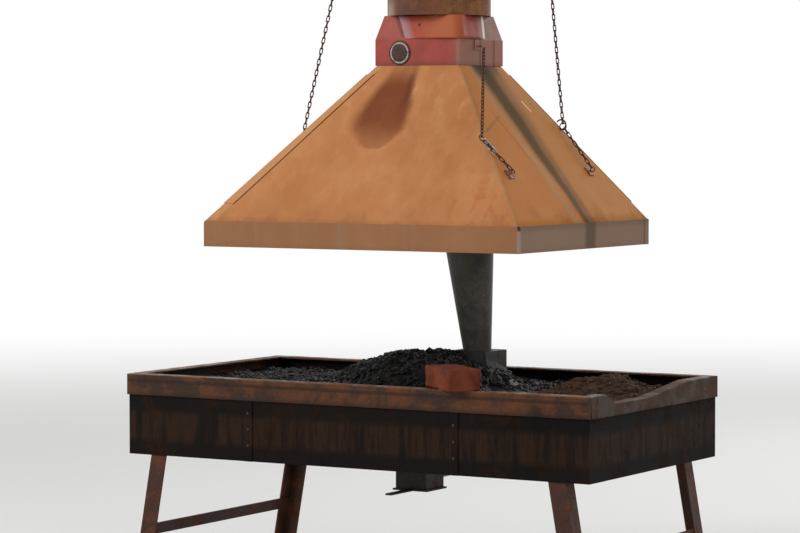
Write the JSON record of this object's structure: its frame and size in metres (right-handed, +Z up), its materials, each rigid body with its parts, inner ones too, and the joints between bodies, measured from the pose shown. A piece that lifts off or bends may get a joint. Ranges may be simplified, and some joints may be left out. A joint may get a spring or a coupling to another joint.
{
  "type": "blacksmith's forge",
  "caption": "Raised coal hearth on splayed angle-iron legs under a sheet-metal smoke hood hung on chains, with a square collar, round flue and tapered draught pipe.",
  "frame": {"origin": "on the floor under the centre of the hood", "axes": "+Z up, +X to the right along the hearth, front face towards -Y"},
  "size_m": [1.8244, 1.1799, 3],
  "materials": {
    "hood_sheet": "warm brown rust film on heat-tanned sheet",
    "skirt_sheet": "greyer brown rust film",
    "collar_sheet": "dusty faded red primer, matte",
    "patch_sheet": "heat-stained glossy orange red",
    "disc": "plain dark disc",
    "flue_sheet": "mottled ochre rust",
    "chain_iron": "dark rust",
    "rim_iron": "worn brown angle iron",
    "body_plate": "dark sooty brown plate",
    "leg_iron": "reddish brown angle iron",
    "cast": "rough sooty casting",
    "bar_iron": "dark rusted bar",
    "zinc_pipe": "dull galvanised grey",
    "coal": "loose black forge coal",
    "ash": "brown-grey ash and clinker",
    "firebrick": "worn orange-red firebrick"
  },
  "bodies": {
    "root": {"hood_front": "hood_sheet", "hood_back": "hood_sheet", "hood_left": "hood_sheet", "hood_right": "hood_sheet", "skirt_front": "skirt_sheet", "skirt_back": "skirt_sheet", "skirt_left": "skirt_sheet", "skirt_right": "skirt_sheet", "hip_laps": "hood_sheet", "collar_band": "collar_sheet", "collar_taper": "collar_sheet", "collar_patch": "patch_sheet", "collar_disc": "disc", "collar_lug": "chain_iron", "flue_lower": "flue_sheet", "flue_upper": "flue_sheet", "flue_joint_band": "flue_sheet", "hood_eyes": "chain_iron", "chain_tails": "chain_iron", "chain_front_left": "chain_iron", "chain_front_right": "chain_iron", "chain_back_left": "chain_iron", "chain_back_right": "chain_iron", "ceiling_eyes": "chain_iron", "rim_front": "rim_iron", "rim_back": "rim_iron", "rim_left": "rim_iron", "rim_right": "rim_iron", "body_front": "body_plate", "body_back": "body_plate", "body_left": "body_plate", "body_right": "body_plate", "bed_plate": "body_plate", "leg_front_left": "leg_iron", "leg_front_right": "leg_iron", "leg_back_left": "leg_iron", "leg_back_right": "leg_iron", "foot_plates": "leg_iron", "leg_ties": "leg_iron", "fire_pot": "cast", "tuyere_box": "cast", "ash_gate": "bar_iron", "air_pipe": "zinc_pipe", "draught_shoe": "cast", "draught_pipe": "zinc_pipe", "draught_hanger": "bar_iron", "coal_bed": "coal", "ash_heap": "ash", "firebrick": "firebrick"}
  },
  "joints": []
}
